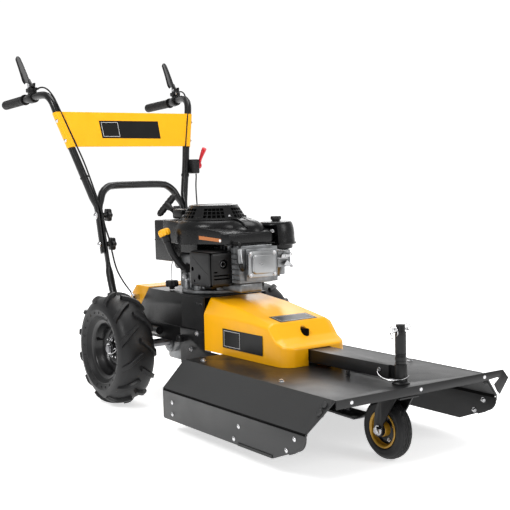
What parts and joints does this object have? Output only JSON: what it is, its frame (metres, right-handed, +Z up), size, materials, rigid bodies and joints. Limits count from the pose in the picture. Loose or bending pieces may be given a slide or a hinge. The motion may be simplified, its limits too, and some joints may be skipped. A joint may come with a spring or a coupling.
{
  "type": "walk-behind brush mower",
  "caption": "Walk-behind brush mower with a wide cutting deck, nose castor, big lugged drive tyres, vertical-shaft engine and folding handlebars.",
  "frame": {"origin": "on the ground under the middle of the whole machine", "axes": "+X is the way it drives, +Y its left, +Z up"},
  "size_m": [1.7905, 0.645, 1.1041],
  "materials": {
    "black_coat": "satin black powder coat",
    "grey_coat": "satin charcoal powder coat",
    "yellow_paint": "gloss yellow paint",
    "gold_paint": "gold-yellow paint",
    "aluminium": "as-cast satin",
    "zinc": "zinc plated",
    "steel": "plain steel",
    "tyre": "matt black rubber",
    "rubber": "matt black rubber",
    "black_plastic": "fine-grained black moulding",
    "yellow_plastic": "yellow moulding",
    "red_plastic": "red moulding"
  },
  "bodies": {
    "chassis": {"chassis_housing": "black_coat", "deck_shell": "black_coat", "rear_baffle": "black_coat", "belt_cover": "yellow_paint", "rear_cover": "yellow_paint", "gearbox": "aluminium", "caster_beam": "black_coat", "spindle_bearing": "aluminium", "crankcase": "aluminium", "valve_cover": "aluminium", "blower_housing": "black_plastic", "starter_cage": "black_plastic", "muffler_guard": "black_coat", "fuel_tank": "black_plastic", "oil_filler_tube": "black_plastic", "air_filter": "black_plastic", "carburettor": "aluminium", "handle_hoop": "black_coat", "drive_belt": "rubber", "starter_rope": "rubber", "skirt_left": "grey_coat", "skirt_right": "grey_coat", "deck_bracket_left": "black_coat", "deck_bracket_right": "black_coat"},
    "drive_axle": {"rear_axle": "steel", "drive_tyre_left": "tyre", "drive_tyre_right": "tyre", "drive_rim_left": "black_coat", "drive_rim_right": "black_coat"},
    "caster": {"caster_fork": "black_coat", "caster_spacer": "black_coat", "caster_pin": "zinc", "caster_axle_bolt": "zinc"},
    "caster_wheel": {"caster_tyre": "tyre", "caster_rim": "gold_paint"},
    "crankshaft": {"engine_pulley": "steel"},
    "blade": {"blade_spindle": "steel", "blade_bar": "steel"},
    "handlebar": {"handlebar_left": "black_coat", "handlebar_right": "black_coat", "grip_left": "rubber", "grip_right": "rubber", "lever_bracket_left": "black_plastic", "lever_bracket_right": "black_plastic", "handle_panel": "yellow_paint", "throttle_housing": "black_plastic", "throttle_cable": "rubber", "clutch_cable_left": "rubber", "clutch_cable_right": "rubber"},
    "lever_left": {"lever_left": "black_plastic"},
    "lever_right": {"lever_right": "black_plastic"},
    "throttle_lever": {"throttle_lever": "red_plastic"},
    "starter_grip": {"starter_grip": "black_plastic"},
    "fuel_cap": {"fuel_cap": "black_plastic"},
    "oil_cap": {"oil_cap": "yellow_plastic"},
    "filter_knob": {"filter_knob": "black_plastic"},
    "lower_knob_left": {"lower_knob_left": "black_plastic"},
    "lower_knob_right": {"lower_knob_right": "black_plastic"},
    "upper_knob_left": {"upper_knob_left": "black_plastic"},
    "upper_knob_right": {"upper_knob_right": "black_plastic"}
  },
  "joints": [
    {"name": "wheel_drive", "type": "hinge", "parent": "chassis", "child": "drive_axle", "pos_m": [-0.13163, -0.0045, 0.1703], "axis": [0, 1, 0], "continuous": true},
    {"name": "castor_swivel", "type": "hinge", "parent": "chassis", "child": "caster", "pos_m": [0.84955, -0.0045, 0.19469], "axis": [-0.0123, 0, 0.9999], "continuous": true},
    {"name": "castor_roll", "type": "hinge", "parent": "caster", "child": "caster_wheel", "pos_m": [0.80202, -0.0045, 0.075], "axis": [0, 1, 0], "continuous": true},
    {"name": "blade_spin", "type": "hinge", "parent": "chassis", "child": "blade", "pos_m": [0.47318, -0.0045, 0.22206], "axis": [-0.0123, 0, 0.9999], "continuous": true},
    {"name": "crank_spin", "type": "hinge", "parent": "chassis", "child": "crankshaft", "pos_m": [0.02822, -0.0045, 0.21657], "axis": [-0.0123, 0, 0.9999], "continuous": true},
    {"name": "handle_fold", "type": "hinge", "parent": "chassis", "child": "handlebar", "pos_m": [-0.39788, -0.0045, 0.46534], "axis": [0, 1, 0], "range_deg": [0, 75], "deforming": ["clutch_cable_left", "clutch_cable_right", "throttle_cable"]},
    {"name": "lever_squeeze_left", "type": "hinge", "parent": "handlebar", "child": "lever_left", "pos_m": [-0.66843, 0.277, 0.99505], "axis": [0, -1, 0], "range_deg": [0, 46], "stiffness_Nm_per_rad": 0.5, "springref_deg": -22.92},
    {"name": "lever_squeeze_right", "type": "hinge", "parent": "handlebar", "child": "lever_right", "pos_m": [-0.66843, -0.286, 0.99505], "axis": [0, -1, 0], "range_deg": [0, 46], "stiffness_Nm_per_rad": 0.5, "springref_deg": -22.92},
    {"name": "throttle_turn", "type": "hinge", "parent": "handlebar", "child": "throttle_lever", "pos_m": [-0.454, 0.2355, 0.71767], "axis": [0, 1, 0], "range_deg": [-25, 35]},
    {"name": "starter_pull", "type": "slide", "parent": "chassis", "child": "starter_grip", "axis": [-0.9214, 0, 0.3887], "range_m": [0, 0.45], "stiffness_N_per_m": 15, "springref_m": -0.6, "deforming": ["starter_rope"]},
    {"name": "fuel_cap_turn", "type": "hinge", "parent": "chassis", "child": "fuel_cap", "pos_m": [-0.13593, 0.0455, 0.55158], "axis": [-0.0123, 0, 0.9999], "continuous": true},
    {"name": "oil_cap_turn", "type": "hinge", "parent": "chassis", "child": "oil_cap", "pos_m": [-0.02042, -0.147, 0.511], "axis": [-0.2949, -0.1764, 0.9391], "continuous": true},
    {"name": "filter_knob_turn", "type": "hinge", "parent": "chassis", "child": "filter_knob", "pos_m": [0.15113, 0.1365, 0.54911], "axis": [-0.0123, 0, 0.9999], "continuous": true},
    {"name": "lower_knob_turn_left", "type": "hinge", "parent": "chassis", "child": "lower_knob_left", "pos_m": [-0.39788, 0.152, 0.46534], "axis": [0, 1, 0], "continuous": true},
    {"name": "lower_knob_turn_right", "type": "hinge", "parent": "chassis", "child": "lower_knob_right", "pos_m": [-0.39788, -0.161, 0.46534], "axis": [0, 1, 0], "continuous": true},
    {"name": "upper_knob_turn_left", "type": "hinge", "parent": "chassis", "child": "upper_knob_left", "pos_m": [-0.42105, 0.152, 0.55956], "axis": [0, 1, 0], "continuous": true},
    {"name": "upper_knob_turn_right", "type": "hinge", "parent": "chassis", "child": "upper_knob_right", "pos_m": [-0.42105, -0.161, 0.55956], "axis": [0, 1, 0], "continuous": true}
  ],
  "couplings": [
    {"joint": "crank_spin", "follows": "blade_spin", "ratio": 1.4062}
  ]
}
